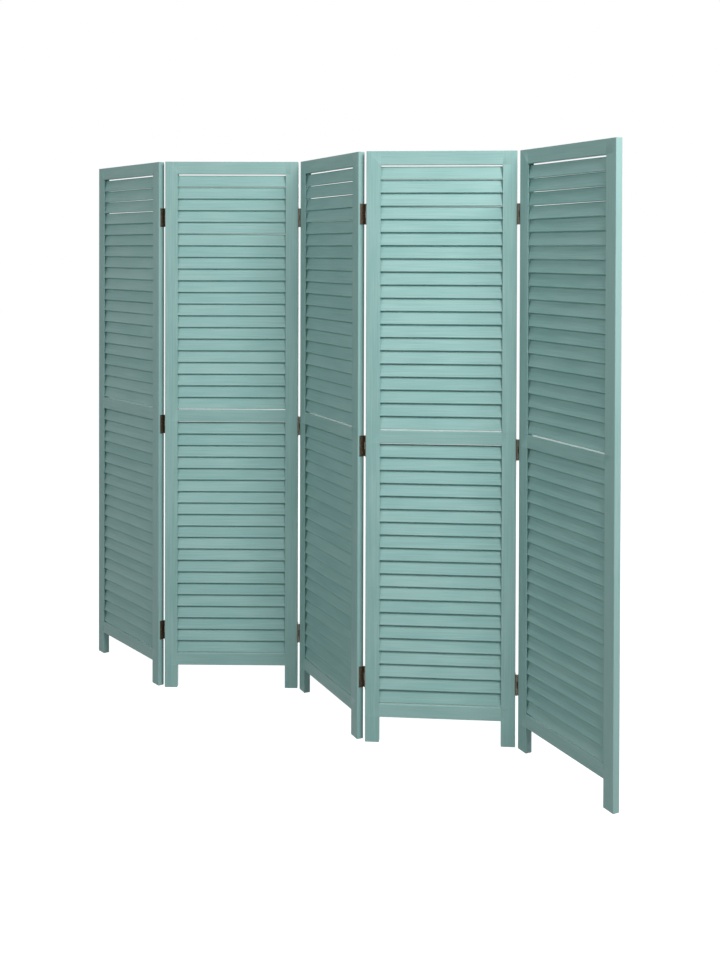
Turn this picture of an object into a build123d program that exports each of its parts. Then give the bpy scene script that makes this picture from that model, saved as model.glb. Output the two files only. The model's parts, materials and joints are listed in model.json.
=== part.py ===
from build123d import *
import os
from math import atan2, cos, degrees, radians, sin, sqrt

# A free-standing folding screen of louvred wooden panels, in millimetres, with +Z up.
# The screen stands half folded, as a zigzag. +X runs along it from left to right, its front looks
# towards -Y, and the origin is the middle of the floor rectangle that it takes up.
# Each panel is drawn in its own frame: x across it from its left edge, y from its front face to its
# back, z up from the floor. All panels are the same, so each piece is drawn once and set five times.

# Panel
panel_width = 430.0
panel_height = 1700.0
panel_thickness = 20.0
arris = 1.0  # small flat that breaks the long edges of stiles and rails

# Stiles and rails
stile_width = 41.0
top_rail_width = 40.0
mid_rail_width = 37.5
bottom_rail_width = 38.0
mid_rail_height = 861.5  # underside of the middle rail above the floor
leg_height = 73.0  # underside of the bottom rail above the floor

# Stub tenons that join each rail to its stiles
tenon_length = 15.0
tenon_thickness = 8.0
tenon_shoulder = 6.0  # shoulder above and below the tenon
tenon_clearance = 0.15
mortise_end_gap = 0.8  # room for glue beyond the end of the tenon

# Fixed louvres
slats_per_opening = 20
slat_width = 38.4
slat_thickness = 6.0
slat_tilt = 15.0  # degrees off upright, upper edge to the back
slat_end_gap = 3.2  # open slit between a rail and the slat beside it
groove_depth = 5.0  # stopped groove in each stile, which the ends of the slats are glued into
groove_clearance = 0.1
groove_end_gap = 0.2

# Butt hinges, screwed flat on the panel edges
hinge_length = 60.0
hinge_from_end = 180.0  # centre of the upper and lower hinge from the top and from the floor
leaf_thickness = 1.2
leaf_cover = 15.0  # how far a leaf reaches across the panel edge
knuckle_radius = 2.3
knuckle_play = 0.3  # gap between neighbouring knuckles
pin_radius = 1.2
pin_clearance = 0.05
bore_flats = 8  # the bore round the pin is drawn with flats, which touch the clearance circle
pin_stand_off = 3.8  # pin axis in front of the panel face that it stands at
leaf_swing_clearance = 0.25  # between one leaf's cut-out and the other leaf's knuckle

# How the screen stands: the angle between neighbouring panels, and the face with the pins.
# At a back pin the panels fold back to back, at a front pin face to face.
standing_angles = (130.0, 117.0, 121.0, 121.0)
pin_faces = ("back", "front", "back", "front")

# Worked out from the values above
clear_width = panel_width - 2 * stile_width
slat_length = clear_width + 2 * (groove_depth - groove_end_gap)
slat_rise = slat_width * cos(radians(slat_tilt)) + slat_thickness * sin(radians(slat_tilt))
slat_reach = slat_width * sin(radians(slat_tilt)) + slat_thickness * cos(radians(slat_tilt))
hinge_heights = (hinge_from_end, panel_height / 2, panel_height - hinge_from_end)
low_corner = (Align.MIN, Align.MIN, Align.MIN)

# Each rail as its underside above the floor and its width
rails = {
    "top_rail": (panel_height - top_rail_width, top_rail_width),
    "mid_rail": (mid_rail_height, mid_rail_width),
    "bottom_rail": (leg_height, bottom_rail_width),
}

# Each opening for louvres as its lowest and highest point
openings = {
    "upper_louvres": (mid_rail_height + mid_rail_width, panel_height - top_rail_width),
    "lower_louvres": (leg_height + bottom_rail_width, mid_rail_height),
}


def slat_heights(opening):
    """Heights of the slat centres in one opening, evenly spaced between its two end gaps."""
    lowest, highest = openings[opening]
    first = lowest + slat_end_gap + slat_rise / 2
    last = highest - slat_end_gap - slat_rise / 2
    pitch = (last - first) / (slats_per_opening - 1)
    return [first + pitch * row for row in range(slats_per_opening)]


def slats(opening):
    """The loose slats of one opening, as separate solids with their upper edges leaning back."""
    slat = Rot(-slat_tilt, 0, 0) * Box(slat_length, slat_thickness, slat_width)
    return [
        Pos(panel_width / 2, panel_thickness / 2, height) * slat for height in slat_heights(opening)
    ]


def louvre_groove(opening):
    """The stopped groove in both stiles' inner edges that holds the slats by their corners."""
    lowest, highest = openings[opening]
    return Pos(panel_width / 2, panel_thickness / 2, (lowest + highest) / 2) * Box(
        clear_width + 2 * groove_depth,
        slat_reach + 2 * groove_clearance,
        highest - lowest,
    )


def rail(name):
    """A rail between the stiles, with broken long edges and a stub tenon on each end."""
    underside, width = rails[name]
    bar = Box(clear_width, panel_thickness, width, align=low_corner)
    bar = chamfer(bar.edges().filter_by(Axis.X), arris)
    tenons = Pos(clear_width / 2, panel_thickness / 2, width / 2) * Box(
        clear_width + 2 * tenon_length, tenon_thickness, width - 2 * tenon_shoulder
    )
    return Pos(stile_width, 0, underside) * (bar + tenons)


def rail_mortise(name):
    """The slot through both stiles' inner edges that takes the tenons of one rail."""
    underside, width = rails[name]
    return Pos(panel_width / 2, panel_thickness / 2, underside + width / 2) * Box(
        clear_width + 2 * (tenon_length + mortise_end_gap),
        tenon_thickness + 2 * tenon_clearance,
        width - 2 * (tenon_shoulder - tenon_clearance),
    )


def left_stile():
    """The left upright, down to the floor as a leg, with its mortises and louvre grooves."""
    upright = Box(stile_width, panel_thickness, panel_height, align=low_corner)
    upright = chamfer(upright.edges(), arris)
    mortises = [rail_mortise(name) for name in rails]
    grooves = [louvre_groove(opening) for opening in openings]
    return upright - mortises - grooves


def mirrored_across_panel(piece):
    """The same piece at the other side of the panel."""
    return mirror(piece, about=Plane.YZ.offset(panel_width / 2))


def cut_out_section():
    """Section of a leaf where it is cut back to let the other leaf's knuckle turn.

    The pin axis is at y = 0 and the panel edge is the line x = 0.
    """
    inner_edge = -(pin_stand_off + leaf_cover)
    turning_radius = knuckle_radius + leaf_swing_clearance
    outer_edge = -sqrt(turning_radius**2 - (knuckle_radius - leaf_thickness) ** 2)
    corners = ((0, inner_edge), (leaf_thickness, inner_edge), (leaf_thickness, outer_edge), (0, outer_edge))
    return make_face(Polyline(*corners, close=True))


def knuckle_section():
    """Section of a leaf where it is rolled round the pin."""
    inner_edge = -(pin_stand_off + leaf_cover)
    web = knuckle_radius - leaf_thickness
    roll_end = (leaf_thickness, -sqrt(knuckle_radius**2 - web**2))
    middle_of_roll = (degrees(atan2(roll_end[1], -web)) + 180) / 2
    far_side = (
        knuckle_radius + knuckle_radius * cos(radians(middle_of_roll)),
        knuckle_radius * sin(radians(middle_of_roll)),
    )
    outline = Curve() + [
        Line((leaf_thickness, inner_edge), (0, inner_edge)),
        Line((0, inner_edge), (0, 0)),
        ThreePointArc((0, 0), far_side, roll_end),
        Line(roll_end, (leaf_thickness, inner_edge)),
    ]
    bore = Pos(knuckle_radius, 0) * RegularPolygon(
        pin_radius + pin_clearance, bore_flats, major_radius=False
    )
    return make_face(outline) - bore


def leaf(knuckle_rows, cut_out_rows):
    """One leaf: rolled round the pin in the knuckle rows, and cut back in the other leaf's rows."""
    rolled = [Pos(0, 0, low) * extrude(knuckle_section(), high - low) for low, high in knuckle_rows]
    flat = [Pos(0, 0, low) * extrude(cut_out_section(), high - low) for low, high in cut_out_rows]
    return Part() + rolled + flat


def three_knuckle_leaves():
    """The leaf with the two outer knuckles, and the leaf with the knuckle between them."""
    end = hinge_length / 2
    inner = hinge_length / 6
    outer = inner + knuckle_play
    outer_leaf = leaf([(-end, -outer), (outer, end)], [(-outer, outer)])
    middle_leaf = leaf([(-inner, inner)], [(-end, -inner), (inner, end)])
    return outer_leaf, middle_leaf


def pin_y(face):
    """Where a pin axis stands in the panel's thickness."""
    return panel_thickness + pin_stand_off if face == "back" else -pin_stand_off


def on_right_edge(piece, face):
    """A hinge piece set on the right edge of a panel, at the pins' height above the floor."""
    if face == "front":
        piece = mirror(piece, about=Plane.XZ)
    return [Pos(panel_width, pin_y(face), height) * piece for height in hinge_heights]


def on_left_edge(piece, face):
    """A hinge piece set on the left edge of a panel."""
    piece = mirror(piece, about=Plane.YZ)
    if face == "front":
        piece = mirror(piece, about=Plane.XZ)
    return [Pos(0, pin_y(face), height) * piece for height in hinge_heights]


def panel_locations():
    """Each panel's place, worked out pin by pin from the left, with the run turned on to +X."""
    places = [Location()]
    for angle, face in zip(standing_angles, pin_faces):
        turn = (180 - angle) * (1 if face == "back" else -1)
        pin = Location((panel_width + knuckle_radius, pin_y(face), 0))
        next_corner = Location((knuckle_radius, -pin_y(face), 0))
        places.append(places[-1] * pin * Location((0, 0, 0), (0, 0, turn)) * next_corner)
    last_corner = (places[-1] * Location((panel_width, 0, 0))).position
    along_x = Location((0, 0, 0), (0, 0, -degrees(atan2(last_corner.Y, last_corner.X))))
    return [along_x * place for place in places]


def centred_on_floor(places, pieces):
    """The same places, moved so that the origin is the middle of the floor rectangle."""
    box = Compound([place * piece for place in places for piece in pieces]).bounding_box()
    shift = Location((-box.center().X, -box.center().Y, 0))
    return [shift * place for place in places]


def set_in_place(place, solids):
    """One node's solids, moved to where their panel stands."""
    return Compound([solid for piece in solids for solid in (place * piece).solids()])


stile_left = left_stile()
stile_right = mirrored_across_panel(stile_left)
panel_pieces = {
    "stile_left": [stile_left],
    "stile_right": [stile_right],
    **{name: [rail(name)] for name in rails},
    **{name: slats(name) for name in openings},
}
outer_leaf, middle_leaf = three_knuckle_leaves()
pin = Pos(knuckle_radius, 0, 0) * Cylinder(pin_radius, hinge_length)
locations = centred_on_floor(panel_locations(), [stile_left, stile_right])

nodes = {
    f"panel_{number}_{name}": set_in_place(place, solids)
    for number, place in enumerate(locations, 1)
    for name, solids in panel_pieces.items()
}
for number, face in enumerate(pin_faces, 1):
    left_panel = locations[number - 1]
    right_panel = locations[number]
    nodes[f"hinge_{number}_leaves_left"] = set_in_place(left_panel, on_right_edge(outer_leaf, face))
    nodes[f"hinge_{number}_leaves_right"] = set_in_place(right_panel, on_left_edge(middle_leaf, face))
    nodes[f"hinge_{number}_pins"] = set_in_place(left_panel, on_right_edge(pin, face))

os.makedirs("parts", exist_ok=True)
for name, shape in nodes.items():
    shape.label = name
    export_step(shape, f"parts/{name}.step")
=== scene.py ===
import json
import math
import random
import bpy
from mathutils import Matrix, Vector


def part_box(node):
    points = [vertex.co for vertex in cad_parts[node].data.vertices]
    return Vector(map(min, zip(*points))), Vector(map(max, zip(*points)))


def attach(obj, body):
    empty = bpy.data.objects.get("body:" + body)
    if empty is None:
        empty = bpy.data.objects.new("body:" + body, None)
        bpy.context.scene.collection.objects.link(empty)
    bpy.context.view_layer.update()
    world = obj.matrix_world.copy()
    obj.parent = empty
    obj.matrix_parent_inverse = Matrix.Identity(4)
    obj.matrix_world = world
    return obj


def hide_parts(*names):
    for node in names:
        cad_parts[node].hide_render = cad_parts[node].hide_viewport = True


bl_info = {
    "name": "Louvred folding screen",
    "version": (1, 0, 0),
    "blender": (4, 5, 0),
    "location": "View3D > Sidebar > Screen",
    "description": "Dresses a folding screen's CAD frame with painted wood and hinge screws",
    "category": "Object",
}

import bpy
import numpy as np
from mathutils import Matrix, Vector

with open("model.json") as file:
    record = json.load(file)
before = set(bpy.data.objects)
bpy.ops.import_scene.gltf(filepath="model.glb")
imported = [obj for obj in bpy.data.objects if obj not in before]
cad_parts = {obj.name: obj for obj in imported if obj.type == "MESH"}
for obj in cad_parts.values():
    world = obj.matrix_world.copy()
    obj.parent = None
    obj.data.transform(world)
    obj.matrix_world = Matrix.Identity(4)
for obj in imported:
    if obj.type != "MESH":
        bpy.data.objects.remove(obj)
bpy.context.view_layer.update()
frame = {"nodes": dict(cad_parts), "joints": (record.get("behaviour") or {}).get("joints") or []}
MM = 0.001
SAME_PLACE = 0.01 * MM  # points closer than this are at one height

# The frame's own sizes, in metres
PANELS = ("panel_1", "panel_2", "panel_3", "panel_4", "panel_5")
HINGE_ROWS = ("hinge_1", "hinge_2", "hinge_3", "hinge_4")
PIN_FACES = ("back", "front", "back", "front")
PANEL_WIDTH = 430 * MM
PANEL_THICKNESS = 20 * MM
STILE_WIDTH = 41 * MM
KNUCKLE_RADIUS = 2.3 * MM
PIN_STAND_OFF = 3.8 * MM
LEAF_THICKNESS = 1.2 * MM
LEAF_COVER = 15 * MM
HINGE_LENGTH = 60 * MM
HINGE_FROM_END = 180 * MM
GROOVE_DEPTH = 5 * MM
GROOVE_WIDTH = 15.93 * MM  # what a leaning slat takes up, with 0.1 mm on each side
GROOVE_END_GAP = 0.2 * MM
RAILS = ("top_rail", "mid_rail", "bottom_rail")

# Each opening for slats, with the rail below it and the rail above it
OPENINGS = {
    "upper_louvres": ("mid_rail", "top_rail"),
    "lower_louvres": ("bottom_rail", "mid_rail"),
}

# How unevenly a joiner sets the slats and paints the pieces
TILT_PLAY = 0.5  # degrees that a slat may lean more or less than the others
SLOPE_PLAY = 0.03  # degrees that it may be off level
TONE_SPREAD = 0.035  # how far pieces differ in paint, where 0.24 is from thick paint to thin
PATTERN_SHIFT = 9  # metres by which a piece may be moved in the pattern, so that no two are alike

SHARP_ANGLE = math.radians(40)  # edges steeper than this stay sharp

# A hinge's screws stand in a zigzag along each leaf
SCREW_STEPS = (-1, 0, 1)
SCREW_SPACING = HINGE_LENGTH / 3
SCREW_STAGGER = 0.18 * LEAF_COVER  # to either side of the middle of the leaf

# Slats that sit a little loose, counted from the top of their opening: how far each has dropped, in
# millimetres, and its slope in degrees, with its right end down. Light shows above them.
LOOSE_SLATS = {
    ("panel_1", "upper_louvres", 3): (0.5, 0.1),
    ("panel_1", "upper_louvres", 4): (1.5, 0.02),
    ("panel_1", "upper_louvres", 5): (0.6, 0.0),
    ("panel_2", "upper_louvres", 2): (0.3, 0.0),
    ("panel_2", "upper_louvres", 6): (0.5, 0.15),
    ("panel_3", "upper_louvres", 2): (0.3, 0.1),
    ("panel_3", "upper_louvres", 3): (1.5, 0.0),
    ("panel_3", "upper_louvres", 4): (0.9, 0.0),
    ("panel_3", "upper_louvres", 5): (1.3, 0.05),
    ("panel_4", "upper_louvres", 2): (0.3, 0.0),
    ("panel_4", "upper_louvres", 4): (0.7, 0.13),
    ("panel_5", "upper_louvres", 2): (0.3, -0.05),
    ("panel_5", "upper_louvres", 3): (0.6, -0.2),
    ("panel_5", "upper_louvres", 4): (1.0, -0.33),
    ("panel_5", "upper_louvres", 5): (0.4, 0.0),
}


class ScreenSizes(bpy.types.PropertyGroup):
    """Sizes of what is modelled here and not in the frame."""

    stile_rounding: bpy.props.FloatProperty(
        name="Stile rounding", description="Radius worked on the outer arrises of the stiles",
        default=2.2 * MM, unit="LENGTH",
    )
    inner_rounding: bpy.props.FloatProperty(
        name="Inner rounding",
        description="Radius on the stiles' inner arrises, stopped at the rails",
        default=1.0 * MM, unit="LENGTH",
    )
    end_rounding: bpy.props.FloatProperty(
        name="End rounding", description="Radius round the top and the foot of the stiles",
        default=0.9 * MM, unit="LENGTH",
    )
    rail_rounding: bpy.props.FloatProperty(
        name="Rail rounding", description="Radius worked on the long arrises of the rails",
        default=1.4 * MM, unit="LENGTH",
    )
    slat_rounding: bpy.props.FloatProperty(
        name="Slat rounding", description="Radius worked on the long edges of the slats",
        default=1.5 * MM, unit="LENGTH",
    )
    slats: bpy.props.IntProperty(
        name="Slats per opening", description="How many slats fill one opening", default=20
    )
    slat_width: bpy.props.FloatProperty(
        name="Slat width", description="Width of a slat from edge to edge",
        default=38.4 * MM, unit="LENGTH",
    )
    slat_thickness: bpy.props.FloatProperty(
        name="Slat thickness", description="Thickness of a slat", default=6 * MM, unit="LENGTH"
    )
    slat_tilt: bpy.props.FloatProperty(
        name="Slat tilt", description="Lean of a slat off upright, its upper edge to the back",
        default=math.radians(15), subtype="ANGLE",
    )
    top_slit: bpy.props.FloatProperty(
        name="Top slit", description="Open slit under the top rail", default=4.0 * MM, unit="LENGTH"
    )
    rail_slit: bpy.props.FloatProperty(
        name="Rail slit", description="Open slit between any other rail and the slat beside it",
        default=2.7 * MM, unit="LENGTH",
    )
    slat_play: bpy.props.FloatProperty(
        name="Slat play", description="How far a slat may sit off its even spacing",
        default=0.22 * MM, unit="LENGTH",
    )
    screw_head: bpy.props.FloatProperty(
        name="Screw head", description="Diameter of a hinge screw's head",
        default=5.6 * MM, unit="LENGTH",
    )


class ScreenColours(bpy.types.PropertyGroup):
    """Colours of the finishes, as sRGB hex values."""

    frame_thin: bpy.props.StringProperty(
        name="Frame paint, thin",
        description="Frame where the brush left the sage-teal paint thinner",
        default="#9EC4C0",
    )
    frame_thick: bpy.props.StringProperty(
        name="Frame paint, thick", description="Frame where the paint lies thicker",
        default="#8FB8B4",
    )
    louvre_thin: bpy.props.StringProperty(
        name="Slat paint, thin", description="Slats where the brush left the paint thinner",
        default="#9FC6C2",
    )
    louvre_thick: bpy.props.StringProperty(
        name="Slat paint, thick", description="Slats where the paint lies thicker",
        default="#8EB9B5",
    )
    bronze: bpy.props.StringProperty(
        name="Bronze", description="Dark antique bronze plate on the hinges", default="#5C5146"
    )
    bronze_rubbed: bpy.props.StringProperty(
        name="Bronze, rubbed", description="Where handling rubbed the plate bright",
        default="#93866F",
    )
    floor: bpy.props.StringProperty(
        name="Floor", description="Plain white studio floor", default="#F4F4F4"
    )


def sizes():
    """The sizes set in the sidebar."""
    return bpy.context.scene.screen_sizes


def colours():
    """The colours set in the sidebar."""
    return bpy.context.scene.screen_colours


def linear(hex_colour):
    """An sRGB hex colour as linear RGBA."""
    channels = [int(hex_colour[i : i + 2], 16) / 255 for i in (1, 3, 5)]
    return (*[c / 12.92 if c <= 0.04045 else ((c + 0.055) / 1.055) ** 2.4 for c in channels], 1)


def node(tree, kind, inputs=(), **settings):
    """Adds a shader node with its settings, its inputs filled with values or nodes' outputs."""
    made = tree.nodes.new(kind)
    for name, value in settings.items():
        setattr(made, name, value)
    for name, value in dict(inputs).items():
        if isinstance(value, bpy.types.NodeSocket):
            tree.links.new(value, made.inputs[name])
        else:
            made.inputs[name].default_value = value
    return made


def empty_material(name):
    """A new material, and its node tree with nothing in it yet."""
    made = bpy.data.materials.new(name)
    made.use_nodes = True
    made.node_tree.nodes.clear()
    return made, made.node_tree


# Finishes


def satin_paint(name, thin, thick):
    """Satin paint brushed along softwood.

    It has a low, even sheen, faint streaks that follow the grain, and a slightly different tone
    from piece to piece. The grain attribute holds where a point lies along and across the grain,
    in metres.
    """
    made, tree = empty_material(name)
    grain = node(tree, "ShaderNodeAttribute", attribute_name="grain").outputs["Vector"]
    tone = node(tree, "ShaderNodeAttribute", attribute_name="tone").outputs["Fac"]
    # The brush leaves streaks about 2.4 mm apart and 140 mm long, and patches of thicker paint
    # about 45 by 170 mm. The wood's own grain, 0.8 mm apart, only shows in the relief.
    streak_map = node(tree, "ShaderNodeMapping", {"Vector": grain, "Scale": (7, 420, 420)})
    streaks = node(
        tree, "ShaderNodeTexNoise", {"Vector": streak_map.outputs[0], "Scale": 1.0, "Detail": 4.0}
    )
    patch_map = node(tree, "ShaderNodeMapping", {"Vector": grain, "Scale": (6, 22, 22)})
    patches = node(
        tree, "ShaderNodeTexNoise", {"Vector": patch_map.outputs[0], "Scale": 1.0, "Detail": 2.0}
    )
    grain_map = node(tree, "ShaderNodeMapping", {"Vector": grain, "Scale": (12, 1300, 1300)})
    pores = node(
        tree, "ShaderNodeTexNoise", {"Vector": grain_map.outputs[0], "Scale": 1.0, "Detail": 3.0}
    )
    brushed = node(
        tree, "ShaderNodeMix",
        {"Factor": 0.4, "A": streaks.outputs["Fac"], "B": patches.outputs["Fac"]},
        data_type="FLOAT",
    )
    toned = node(
        tree, "ShaderNodeMath", {0: brushed.outputs["Result"], 1: tone}, operation="ADD"
    )
    spread = node(
        tree, "ShaderNodeMapRange",
        {"Value": toned.outputs[0], "From Min": 0.38, "From Max": 0.62},
    )
    paint = node(
        tree, "ShaderNodeMix",
        {"Factor": spread.outputs[0], "A": linear(thick), "B": linear(thin)},
        data_type="RGBA",
    )
    sheen_spread = node(
        tree, "ShaderNodeMapRange",
        {"Value": streaks.outputs["Fac"], "To Min": 0.42, "To Max": 0.56},
    )
    relief = node(
        tree, "ShaderNodeMix",
        {"Factor": 0.35, "A": streaks.outputs["Fac"], "B": pores.outputs["Fac"]},
        data_type="FLOAT",
    )
    bump = node(
        tree, "ShaderNodeBump",
        {"Height": relief.outputs["Result"], "Strength": 0.3, "Distance": 0.00025},
    )
    shader = node(
        tree, "ShaderNodeBsdfPrincipled",
        {
            "Base Color": paint.outputs["Result"], "Roughness": sheen_spread.outputs[0],
            "Normal": bump.outputs[0], "IOR": 1.5, "Specular IOR Level": 0.3,
        },
    )
    node(tree, "ShaderNodeOutputMaterial", {"Surface": shader.outputs[0]})
    return made


def antique_bronze():
    """Plated steel in dark antique bronze: a soft metal sheen, rubbed lighter in cloudy spots."""
    made, tree = empty_material("antique_bronze_plate")
    place = node(tree, "ShaderNodeTexCoord").outputs["Object"]
    # The cloudiness of the plating is a few millimetres across, its grit about a third of one.
    clouds = node(tree, "ShaderNodeTexNoise", {"Vector": place, "Scale": 260.0, "Detail": 3.0})
    grit = node(tree, "ShaderNodeTexNoise", {"Vector": place, "Scale": 3000.0, "Detail": 1.0})
    rubbed = node(
        tree, "ShaderNodeMapRange",
        {"Value": clouds.outputs["Fac"], "From Min": 0.45, "From Max": 0.75, "To Max": 0.6},
    )
    colour = node(
        tree, "ShaderNodeMix",
        {
            "Factor": rubbed.outputs[0],
            "A": linear(colours().bronze), "B": linear(colours().bronze_rubbed),
        },
        data_type="RGBA",
    )
    roughness = node(
        tree, "ShaderNodeMapRange",
        {"Value": clouds.outputs["Fac"], "To Min": 0.5, "To Max": 0.34},
    )
    bump = node(
        tree, "ShaderNodeBump",
        {"Height": grit.outputs["Fac"], "Strength": 0.15, "Distance": 0.0001},
    )
    shader = node(
        tree, "ShaderNodeBsdfPrincipled",
        {
            "Base Color": colour.outputs["Result"], "Metallic": 0.9,
            "Roughness": roughness.outputs[0], "Normal": bump.outputs[0],
        },
    )
    node(tree, "ShaderNodeOutputMaterial", {"Surface": shader.outputs[0]})
    return made


def frame_paint():
    """The paint on stiles and rails, made when it is first asked for."""
    name, c = "satin_paint_on_frame", colours()
    return bpy.data.materials.get(name) or satin_paint(name, c.frame_thin, c.frame_thick)


def louvre_paint():
    """The paint on the slats, a shade apart from the frame's."""
    name, c = "satin_paint_on_slats", colours()
    return bpy.data.materials.get(name) or satin_paint(name, c.louvre_thin, c.louvre_thick)


# Where each panel stands


def panel_places():
    """Each panel's front lower left corner and heading, worked out from the hinge pins."""
    joints = {joint["name"]: joint for joint in frame["joints"]}
    folds = [joints[name] for name in ("fold_12", "fold_23", "fold_34", "fold_45")]
    pins = [Vector((*joint["pos_m"][:2], 0)) for joint in folds]
    turns = [
        -math.radians(joint["range_deg"][0]) * (1 if face == "back" else -1)
        for joint, face in zip(folds, PIN_FACES)
    ]

    def pin_depth(face):
        """How far behind a panel's front face the pins at that face stand."""
        return PANEL_THICKNESS + PIN_STAND_OFF if face == "back" else -PIN_STAND_OFF

    # Panel 2 lies between the first two pins, and the others turn from it.
    step_back = pin_depth(PIN_FACES[1]) - pin_depth(PIN_FACES[0])
    across = Vector((PANEL_WIDTH + 2 * KNUCKLE_RADIUS, step_back))
    run = pins[1] - pins[0]
    second = math.atan2(run.y, run.x) - math.atan2(across.y, across.x)
    headings = [second - turns[0], second]
    for turn in turns[1:]:
        headings.append(headings[-1] + turn)
    places = []
    for index, heading in enumerate(headings):
        pin_index = max(index - 1, 0)
        pin_x = PANEL_WIDTH + KNUCKLE_RADIUS if index == 0 else -KNUCKLE_RADIUS
        turned = Matrix.Rotation(heading, 4, "Z")
        corner = pins[pin_index] - turned @ Vector((pin_x, pin_depth(PIN_FACES[pin_index]), 0))
        places.append(Matrix.Translation(corner) @ turned)
    return places


# Tools for making pieces


def deselect():
    """Leaves edit mode and selects nothing."""
    if bpy.context.object and bpy.context.object.mode != "OBJECT":
        bpy.ops.object.mode_set(mode="OBJECT")
    bpy.ops.object.select_all(action="DESELECT")


def bar(name, size):
    """A plain bar of that size, centred on the origin."""
    deselect()
    bpy.ops.mesh.primitive_cube_add(size=1)
    made = bpy.context.object
    made.name = name
    made.scale = size
    bpy.ops.object.transform_apply(location=False, rotation=False, scale=True)
    return made


def round_edges(obj, radius, steps, chosen):
    """Rounds the edges for which chosen(one end, other end) is true."""
    deselect()
    obj.select_set(True)
    bpy.context.view_layer.objects.active = obj
    bpy.ops.object.mode_set(mode="EDIT")
    bpy.ops.mesh.select_mode(type="EDGE")
    bpy.ops.mesh.select_all(action="DESELECT")
    bpy.ops.object.mode_set(mode="OBJECT")
    for edge in obj.data.edges:
        edge.select = chosen(*[obj.data.vertices[v].co for v in edge.vertices])
    bpy.ops.object.mode_set(mode="EDIT")
    bpy.ops.mesh.bevel(offset=radius, segments=steps, affect="EDGES")
    bpy.ops.object.mode_set(mode="OBJECT")


def rounded_bar(name, size, radius, steps):
    """A bar along X with its four long arrises rounded and its ends left square."""
    made = bar(name, size)
    round_edges(made, radius, steps, lambda a, b: abs(a.x - b.x) > size[0] / 2)
    return made


def cut_away(obj, centre, size):
    """Takes a box out of the object."""
    cutter = bar("cutter", size)
    cutter.location = centre
    deselect()
    obj.select_set(True)
    bpy.context.view_layer.objects.active = obj
    cut = obj.modifiers.new("cut", "BOOLEAN")
    cut.operation = "DIFFERENCE"
    cut.object = cutter
    bpy.ops.object.modifier_apply(modifier=cut.name)
    remove(cutter)


def smooth(obj):
    """Shades rounded edges smooth and keeps flat faces flat."""
    deselect()
    obj.select_set(True)
    bpy.context.view_layer.objects.active = obj
    bpy.ops.object.shade_smooth_by_angle(angle=SHARP_ANGLE)
    even = obj.modifiers.new("even_normals", "WEIGHTED_NORMAL")
    even.keep_sharp = True
    bpy.ops.object.modifier_apply(modifier=even.name)


def mark_grain(mesh, long_axis, rng):
    """Writes where each point lies along and across the grain, and the piece's own tone."""
    points = np.empty(len(mesh.vertices) * 3, np.float32)
    mesh.vertices.foreach_get("co", points)
    points = np.roll(points.reshape(-1, 3), -long_axis, axis=1)
    points += np.array([rng.uniform(0, PATTERN_SHIFT) for _ in range(3)], np.float32)
    grain = mesh.attributes.new("grain", "FLOAT_VECTOR", "POINT")
    grain.data.foreach_set("vector", points.ravel())
    tone = mesh.attributes.new("tone", "FLOAT", "POINT")
    tones = np.full(len(mesh.vertices), rng.gauss(0, TONE_SPREAD), np.float32)
    tone.data.foreach_set("value", tones)


def copy_of(template, name, place, long_axis, rng):
    """A copy of the template with its own mesh and grain, its place put into the mesh."""
    mesh = template.data.copy()
    mark_grain(mesh, long_axis, rng)
    mesh.transform(place)
    made = bpy.data.objects.new(name, mesh)
    bpy.context.scene.collection.objects.link(made)
    return made


def remove(obj):
    """Takes away a template or cutter that has done its work."""
    bpy.data.objects.remove(obj)


def dress(obj, body, finish, slot, *nodes):
    """Finishes a piece: its material, the body it rides on, and the frame's nodes it stands for."""
    obj.data.materials.clear()
    obj.data.materials.append(finish)
    smooth(obj)
    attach(obj, body)
    if nodes:
        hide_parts(*nodes)


def joined(name, parts):
    """The parts as one object."""
    deselect()
    for part in parts:
        part.select_set(True)
    bpy.context.view_layer.objects.active = parts[0]
    bpy.ops.object.join()
    parts[0].name = name
    return parts[0]


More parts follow.
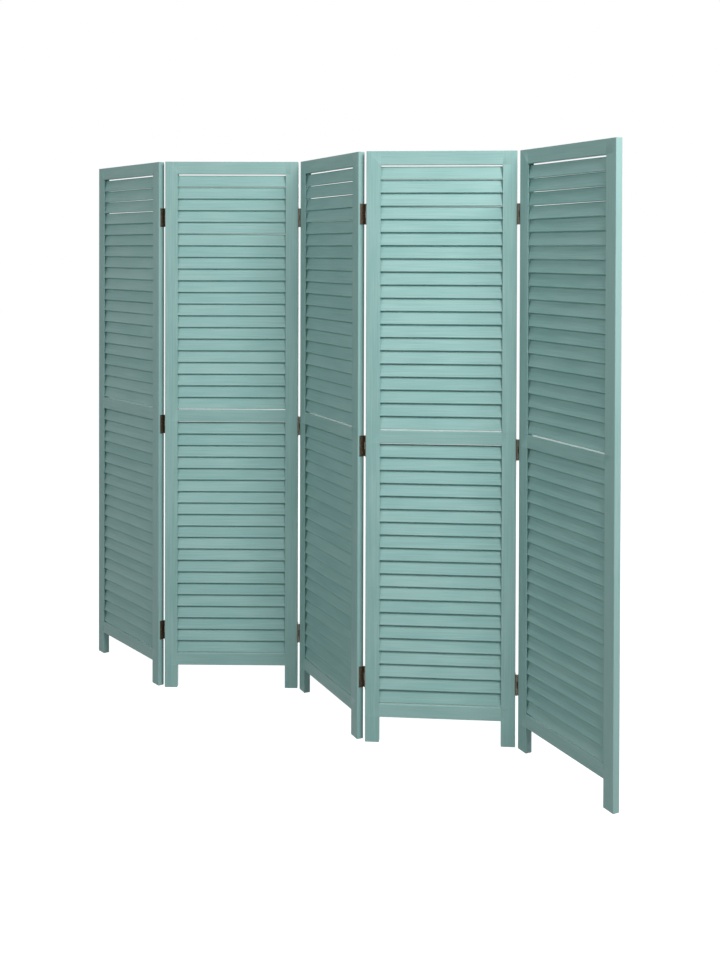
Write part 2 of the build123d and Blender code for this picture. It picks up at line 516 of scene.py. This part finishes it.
class SCREEN_OT_stiles(bpy.types.Operator):
    """Planed uprights with rounded arrises and stopped grooves for the slats, which end as legs"""

    bl_idname = "screen.stiles"
    bl_label = "Stiles"

    def execute(self, context):
        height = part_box("panel_1_stile_left")[1].z
        template = self.upright(height)
        rng = random.Random(11)
        for panel, place in zip(PANELS, panel_places()):
            for side, x, turn in (
                ("left", STILE_WIDTH / 2, 0), ("right", PANEL_WIDTH - STILE_WIDTH / 2, math.pi),
            ):
                at = (
                    place @ Matrix.Translation((x, PANEL_THICKNESS / 2, height / 2))
                    @ Matrix.Rotation(turn, 4, "Z")
                )
                stile = copy_of(template, f"{panel}_stile_{side}_wood", at, 2, rng)
                dress(stile, panel, frame_paint(), "painted_wood", f"{panel}_stile_{side}")
        remove(template)
        return {"FINISHED"}

    def upright(self, height):
        """A left stile centred on the origin, with its inner edge on +X."""
        s = sizes()
        made = bar("stile_template", (STILE_WIDTH, PANEL_THICKNESS, height))
        rails = [[end.z - height / 2 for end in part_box(f"panel_1_{rail}")] for rail in RAILS]
        # Cuts at the rails' upper and lower faces let the inner arrises be rounded between them.
        bpy.ops.object.mode_set(mode="EDIT")
        for z in [z for rail in rails for z in rail if abs(z) < height / 2 - MM]:
            bpy.ops.mesh.select_all(action="SELECT")
            bpy.ops.mesh.bisect(plane_co=(0, 0, z), plane_no=(0, 0, 1))
        bpy.ops.object.mode_set(mode="OBJECT")

        def on_arris(a, b, side):
            return abs(a.z - b.z) > MM and (a.x > 0) == side

        def beside_opening(a, b):
            middle = (a.z + b.z) / 2
            return on_arris(a, b, True) and not any(low < middle < high for low, high in rails)

        def round_an_end(a, b):
            return all(abs(abs(point.z) - height / 2) < SAME_PLACE for point in (a, b))

        round_edges(made, s.stile_rounding, 4, lambda a, b: on_arris(a, b, False))
        round_edges(made, s.inner_rounding, 3, beside_opening)
        round_edges(made, s.end_rounding, 2, round_an_end)
        # The groove is cut last, because its edges stay sharp.
        for above, below in zip(rails[:-1], rails[1:]):
            low, high = below[1], above[0]
            cut_away(
                made, (STILE_WIDTH / 2, 0, (low + high) / 2),
                (2 * GROOVE_DEPTH, GROOVE_WIDTH, high - low),
            )
        return made


class SCREEN_OT_rails(bpy.types.Operator):
    """Three rails to a panel, shouldered against the stiles"""

    bl_idname = "screen.rails"
    bl_label = "Rails"

    def execute(self, context):
        rng = random.Random(23)
        clear_width = PANEL_WIDTH - 2 * STILE_WIDTH
        for rail in RAILS:
            low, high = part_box(f"panel_1_{rail}")
            size = (clear_width, PANEL_THICKNESS, high.z - low.z)
            template = rounded_bar(f"{rail}_template", size, sizes().rail_rounding, 4)
            for panel, place in zip(PANELS, panel_places()):
                middle = Vector((PANEL_WIDTH / 2, PANEL_THICKNESS / 2, (low.z + high.z) / 2))
                at = place @ Matrix.Translation(middle)
                made = copy_of(template, f"{panel}_{rail}_wood", at, 0, rng)
                dress(made, panel, frame_paint(), "painted_wood", f"{panel}_{rail}")
            remove(template)
        return {"FINISHED"}


class SCREEN_OT_louvres(bpy.types.Operator):
    """Thin fixed slats, each a hair off its neighbours as glued-in slats are"""

    bl_idname = "screen.louvres"
    bl_label = "Louvres"

    def execute(self, context):
        s = sizes()
        length = PANEL_WIDTH - 2 * STILE_WIDTH + 2 * (GROOVE_DEPTH - GROOVE_END_GAP)
        size = (length, s.slat_thickness, s.slat_width)
        template = rounded_bar("slat_template", size, s.slat_rounding, 3)
        # The rounded corners make the leaning slat a little less high than its square outline.
        rise = (
            (s.slat_width - 2 * s.slat_rounding) * math.cos(s.slat_tilt)
            + (s.slat_thickness - 2 * s.slat_rounding) * math.sin(s.slat_tilt)
            + 2 * s.slat_rounding
        )
        rng = random.Random(37)
        for panel, place in zip(PANELS, panel_places()):
            for opening, (rail_below, rail_above) in OPENINGS.items():
                slit_above = s.top_slit if rail_above == "top_rail" else s.rail_slit
                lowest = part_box(f"{panel}_{rail_below}")[1].z + s.rail_slit + rise / 2
                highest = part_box(f"{panel}_{rail_above}")[0].z - slit_above - rise / 2
                made = []
                for row in range(s.slats):
                    height = highest - (highest - lowest) * row / (s.slats - 1)
                    sag, slope = LOOSE_SLATS.get((panel, opening, row + 1), (0, 0))
                    height += rng.uniform(-1, 1) * s.slat_play - sag * MM
                    tilt = -s.slat_tilt + math.radians(rng.uniform(-TILT_PLAY, TILT_PLAY))
                    slope = math.radians(slope + rng.uniform(-SLOPE_PLAY, SLOPE_PLAY))
                    at = (
                        place @ Matrix.Translation((PANEL_WIDTH / 2, PANEL_THICKNESS / 2, height))
                        @ Matrix.Rotation(slope, 4, "Y") @ Matrix.Rotation(tilt, 4, "X")
                    )
                    made.append(copy_of(template, "slat", at, 0, rng))
                louvres = joined(f"{panel}_{opening}_wood", made)
                dress(louvres, panel, louvre_paint(), "painted_louvre", f"{panel}_{opening}")
        remove(template)
        return {"FINISHED"}


class SCREEN_OT_hinges(bpy.types.Operator):
    """Bronze finish on the hinge leaves and pins, and three screws in each leaf"""

    bl_idname = "screen.hinges"
    bl_label = "Hinges and screws"

    def execute(self, context):
        bronze = antique_bronze()
        for row in HINGE_ROWS:
            for part in ("leaves_left", "leaves_right", "pins"):
                cad = frame["nodes"][f"{row}_{part}"]
                cad.data.materials.clear()
                cad.data.materials.append(bronze)
        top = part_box("panel_1_stile_left")[1].z
        heights = (HINGE_FROM_END, top / 2, top - HINGE_FROM_END)
        template = self.screw_head()
        rng = random.Random(41)
        places = panel_places()
        for index, row in enumerate(HINGE_ROWS):
            at_back = PIN_FACES[index] == "back"
            depth = PANEL_THICKNESS - LEAF_COVER / 2 if at_back else LEAF_COVER / 2
            sides = (
                ("left", index, PANEL_WIDTH + LEAF_THICKNESS, math.pi / 2),
                ("right", index + 1, -LEAF_THICKNESS, -math.pi / 2),
            )
            for side, panel_index, x, facing in sides:
                made = []
                for height in heights:
                    for step in SCREW_STEPS:
                        z = height + step * SCREW_SPACING
                        y = depth + (SCREW_STAGGER if step else -SCREW_STAGGER)
                        slot_turn = Matrix.Rotation(rng.uniform(0, math.pi), 4, "Z")
                        at = (
                            places[panel_index] @ Matrix.Translation((x, y, z))
                            @ Matrix.Rotation(facing, 4, "Y") @ slot_turn
                        )
                        made.append(copy_of(template, "screw", at, 0, rng))
                screws = joined(f"{row}_screws_{side}", made)
                dress(screws, PANELS[panel_index], bronze, "hinge_bronze")
        remove(template)
        return {"FINISHED"}

    def screw_head(self):
        """A raised countersunk head with a cross recess, the leaf's face at z = 0."""
        sunk = 0.05 * MM
        recess_width = 0.6 * MM
        recess_floor, above_head = 0.2 * MM, 0.9 * MM
        flatness = 0.2
        deselect()
        radius = sizes().screw_head / 2
        bpy.ops.mesh.primitive_uv_sphere_add(segments=20, ring_count=10, radius=radius)
        head = bpy.context.object
        head.scale = (1, 1, flatness)
        bpy.ops.object.transform_apply(location=False, rotation=False, scale=True)
        bpy.ops.object.mode_set(mode="EDIT")
        bpy.ops.mesh.select_all(action="SELECT")
        bpy.ops.mesh.bisect(
            plane_co=(0, 0, -sunk), plane_no=(0, 0, 1), clear_inner=True, use_fill=True
        )
        bpy.ops.object.mode_set(mode="OBJECT")
        recess_length = 1.1 * radius
        deep = above_head - recess_floor
        for size in ((recess_length, recess_width, deep), (recess_width, recess_length, deep)):
            cut_away(head, (0, 0, (recess_floor + above_head) / 2), size)
        return head


class SCREEN_OT_stage(bpy.types.Operator):
    """White floor and background, soft studio light and the photograph's camera"""

    bl_idname = "screen.stage"
    bl_label = "Stage"

    def execute(self, context):
        self.floor()
        self.world(context.scene)
        self.lights()
        self.camera(context.scene)
        context.scene.view_settings.view_transform = "Standard"
        return {"FINISHED"}

    def seen(self, tree):
        """1 for rays that look at the studio or mirror it, 0 for those that light the screen."""
        rays = node(tree, "ShaderNodeLightPath")
        mirrored = node(
            tree, "ShaderNodeMath",
            {0: rays.outputs["Is Camera Ray"], 1: rays.outputs["Is Glossy Ray"]},
            operation="MAXIMUM",
        )
        return node(
            tree, "ShaderNodeMath",
            {0: mirrored.outputs[0], 1: rays.outputs["Is Transmission Ray"]}, operation="MAXIMUM",
        ).outputs[0]

    def floor(self):
        """White paper that also glows to the camera, to look as white as the background."""
        metres_wide = 40
        glowing_share, glow = 0.62, 1.56
        deselect()
        bpy.ops.mesh.primitive_plane_add(size=metres_wide)
        floor = bpy.context.object
        floor.name = "floor"
        made, tree = empty_material("white_studio_floor")
        strength = node(
            tree, "ShaderNodeMath", {0: self.seen(tree), 1: glow}, operation="MULTIPLY"
        )
        paper = node(tree, "ShaderNodeBsdfDiffuse", {"Color": linear(colours().floor)})
        light = node(
            tree, "ShaderNodeEmission", {"Color": (1, 1, 1, 1), "Strength": strength.outputs[0]}
        )
        mixed = node(
            tree, "ShaderNodeMixShader",
            {0: glowing_share, 1: paper.outputs[0], 2: light.outputs[0]},
        )
        node(tree, "ShaderNodeOutputMaterial", {"Surface": mixed.outputs[0]})
        floor.data.materials.append(made)

    def world(self, scene):
        """White to the camera and in reflections, and a weak plain fill on the object."""
        fill = 0.1
        made = bpy.data.worlds.new("white_studio")
        made.use_nodes = True
        tree = made.node_tree
        tree.nodes.clear()
        strength = node(
            tree, "ShaderNodeMapRange", {"Value": self.seen(tree), "To Min": fill, "To Max": 1.0}
        )
        sky = node(
            tree, "ShaderNodeBackground", {"Color": (1, 1, 1, 1), "Strength": strength.outputs[0]}
        )
        node(tree, "ShaderNodeOutputWorld", {"Surface": sky.outputs[0]})
        scene.world = made

    def lights(self):
        """Two keys high on the right, weak fills in front and on the left, and one for the back."""
        middle_of_screen = Vector((0.0, 0.0, 0.9))
        # Each lamp's name, its place and width in metres, and its power in watts
        for name, place, width, power in (
            ("key", (2.82, -1.03, 3.0), 1.4, 66),
            ("far_key", (3.76, -1.37, 3.2), 1.4, 46),
            ("front_fill", (0.0, -3.0, 2.6), 1.4, 28),
            ("left_fill", (-2.12, -2.12, 1.4), 1.4, 4),
            ("back_fill", (-1.4, 3.2, 2.6), 2.0, 45),
        ):
            deselect()
            bpy.ops.object.light_add(type="AREA", location=place)
            lamp = bpy.context.object
            lamp.name = name
            lamp.data.size = width
            lamp.data.energy = power
            towards = middle_of_screen - Vector(place)
            lamp.rotation_euler = towards.to_track_quat("-Z", "Y").to_euler()

    def camera(self, scene):
        """The camera that was fitted to the panel corners in the photograph."""
        deselect()
        bpy.ops.object.camera_add(location=(2.2197, -2.7339, 1.4132))
        camera = bpy.context.object
        heading = math.radians(37.012)
        pitch = math.radians(0.551)
        roll = math.radians(-0.159)
        camera.rotation_euler = (math.pi / 2 - pitch, roll, heading)
        camera.data.lens = 43.309
        camera.data.shift_x = -0.0079
        camera.data.shift_y = -0.2268
        scene.camera = camera


class SCREEN_PT_panel(bpy.types.Panel):
    """Lists the sizes, the colours and the steps that dress the screen"""

    bl_idname = "SCREEN_PT_panel"
    bl_label = "Folding screen"
    bl_space_type = "VIEW_3D"
    bl_region_type = "UI"
    bl_category = "Screen"

    def draw(self, context):
        for group in (context.scene.screen_sizes, context.scene.screen_colours):
            for name in group.__annotations__:
                self.layout.prop(group, name)
        for step in STEPS:
            self.layout.operator(step.bl_idname)


STEPS = (SCREEN_OT_stiles, SCREEN_OT_rails, SCREEN_OT_louvres, SCREEN_OT_hinges, SCREEN_OT_stage)
CLASSES = (ScreenSizes, ScreenColours, *STEPS, SCREEN_PT_panel)


def register():
    for cls in CLASSES:
        bpy.utils.register_class(cls)
    bpy.types.Scene.screen_sizes = bpy.props.PointerProperty(type=ScreenSizes)
    bpy.types.Scene.screen_colours = bpy.props.PointerProperty(type=ScreenColours)


def unregister():
    del bpy.types.Scene.screen_colours
    del bpy.types.Scene.screen_sizes
    for cls in reversed(CLASSES):
        bpy.utils.unregister_class(cls)


def main():
    """Dresses the screen step by step."""
    register()
    bpy.ops.screen.stiles()
    bpy.ops.screen.rails()
    bpy.ops.screen.louvres()
    bpy.ops.screen.hinges()
    bpy.ops.screen.stage()


if __name__ == "__main__":
    main()
